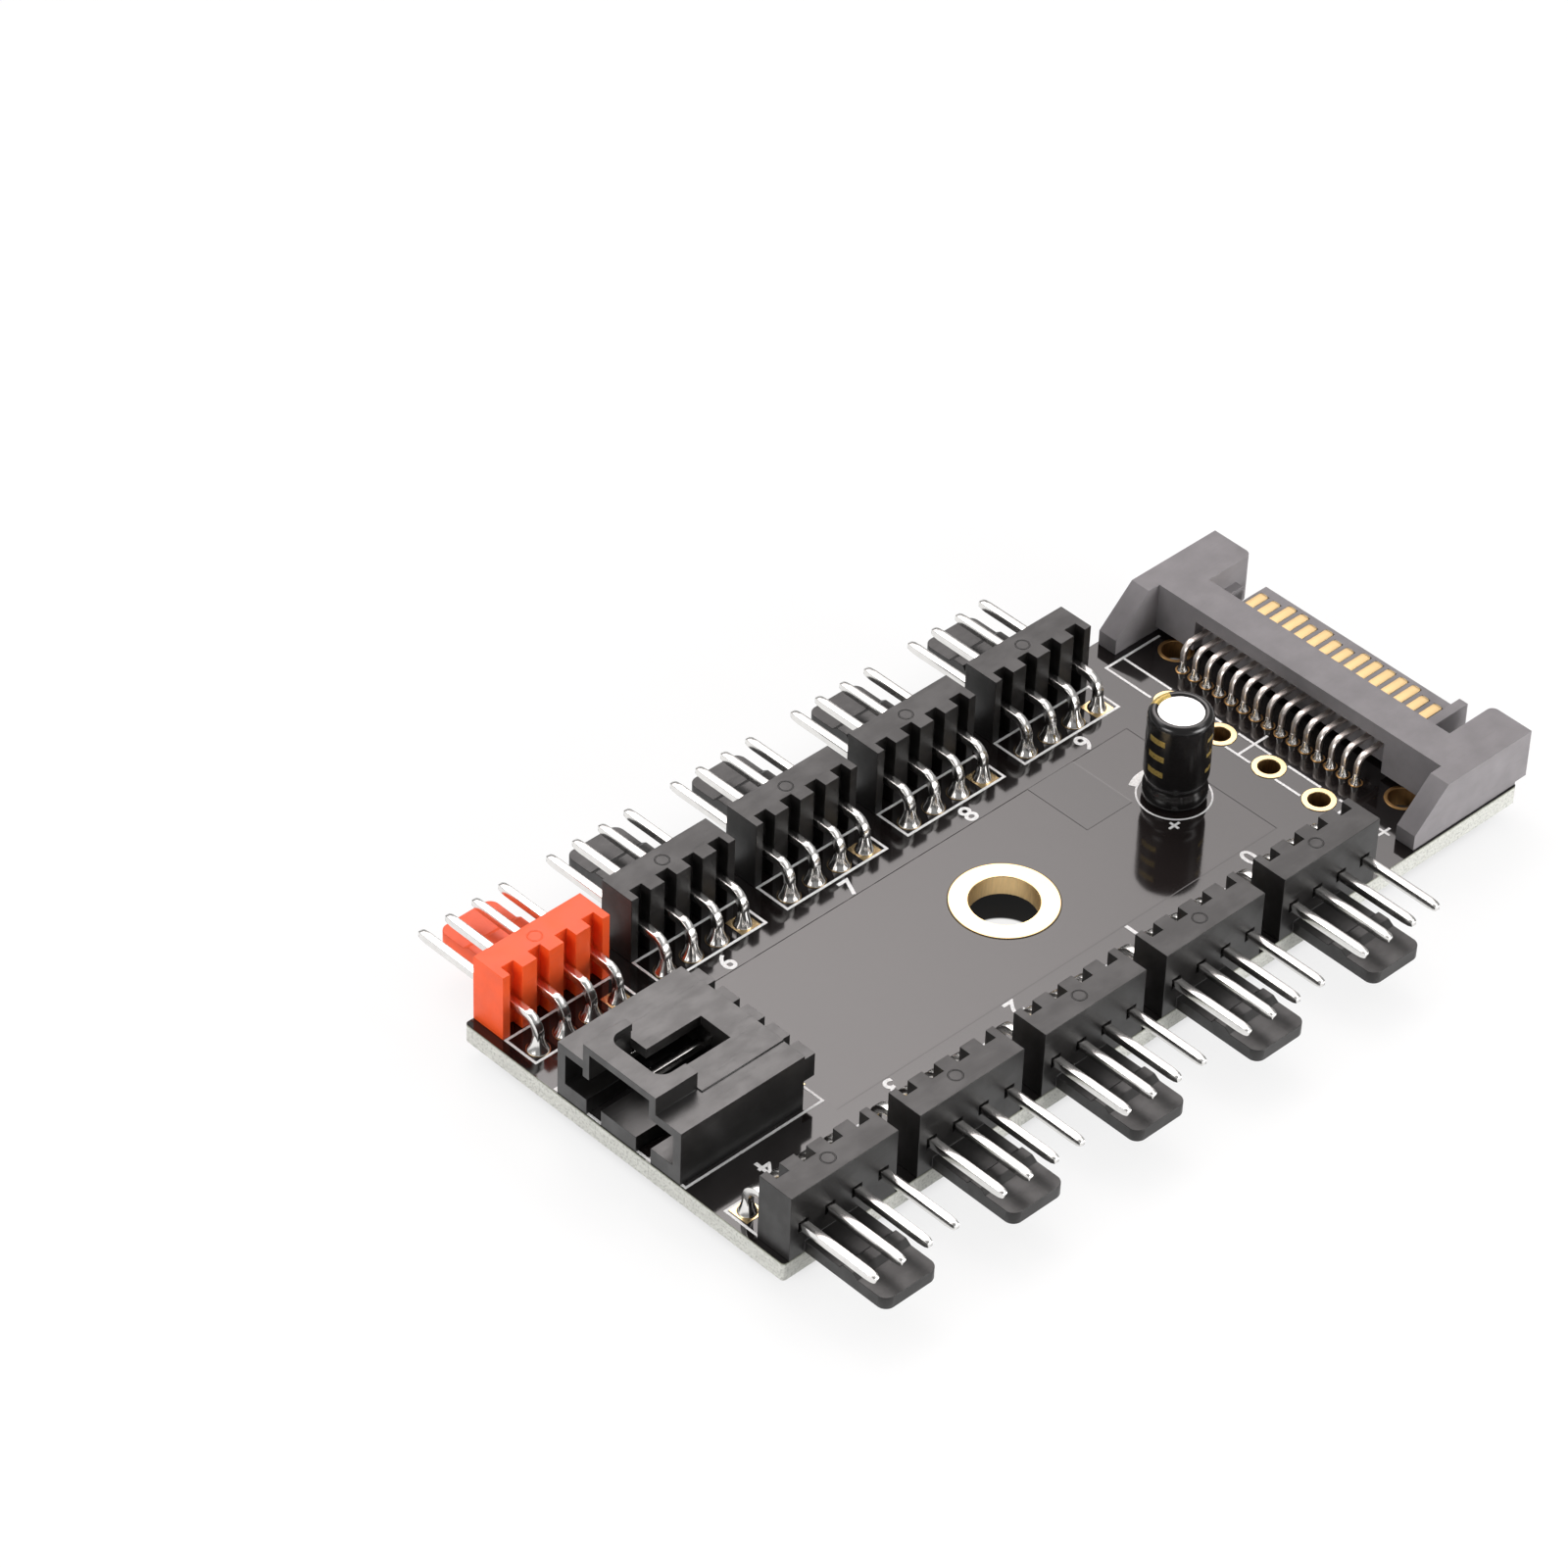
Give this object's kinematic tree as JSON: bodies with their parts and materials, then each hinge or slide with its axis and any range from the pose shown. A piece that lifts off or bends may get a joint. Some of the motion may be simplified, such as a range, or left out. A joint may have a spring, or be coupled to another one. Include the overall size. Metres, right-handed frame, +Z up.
{
  "type": "pc fan controller hub",
  "caption": "Flat circuit board with keyed fan headers along both long edges, a shrouded signal input at one end and a power plug at the other.",
  "frame": {"origin": "centre of the mounting hole at the board's top face", "axes": "+X along the board to the power plug, +Y to the rear row of headers, +Z up from the component side"},
  "size_m": [0.0768, 0.0486, 0.0111],
  "materials": {
    "board_mask": "glossy black solder mask on glass fibre",
    "gold_plating": "gold plated copper",
    "black_nylon": "moulded nylon",
    "red_nylon": "moulded nylon",
    "grey_nylon": "glass-filled moulding, matt",
    "tin_plating": "bright tin plating",
    "contact_gold": "gold plated contact",
    "aluminium_can": "bare drawn aluminium",
    "sleeve_film": "shrink film"
  },
  "bodies": {
    "root": {"pcb": "board_mask", "mounting_hole_ring": "gold_plating", "power_hole_rings": "gold_plating", "locating_hole_rings": "gold_plating", "fan_header_0_housing": "black_nylon", "fan_header_0_pins": "tin_plating", "fan_header_1_housing": "black_nylon", "fan_header_1_pins": "tin_plating", "fan_header_2_housing": "black_nylon", "fan_header_2_pins": "tin_plating", "fan_header_3_housing": "black_nylon", "fan_header_3_pins": "tin_plating", "fan_header_4_housing": "black_nylon", "fan_header_4_pins": "tin_plating", "fan_header_5_housing": "red_nylon", "fan_header_5_pins": "tin_plating", "fan_header_6_housing": "black_nylon", "fan_header_6_pins": "tin_plating", "fan_header_7_housing": "black_nylon", "fan_header_7_pins": "tin_plating", "fan_header_8_housing": "black_nylon", "fan_header_8_pins": "tin_plating", "fan_header_9_housing": "black_nylon", "fan_header_9_pins": "tin_plating", "pwm_input_housing": "black_nylon", "pwm_input_pins": "tin_plating", "sata_housing": "grey_nylon", "sata_contacts_3v3": "contact_gold", "sata_contacts_ground_a": "contact_gold", "sata_contacts_5v": "contact_gold", "sata_contacts_ground_b": "contact_gold", "sata_contacts_12v": "contact_gold", "capacitor_can": "aluminium_can", "capacitor_sleeve": "sleeve_film", "capacitor_leads": "tin_plating"}
  },
  "joints": []
}
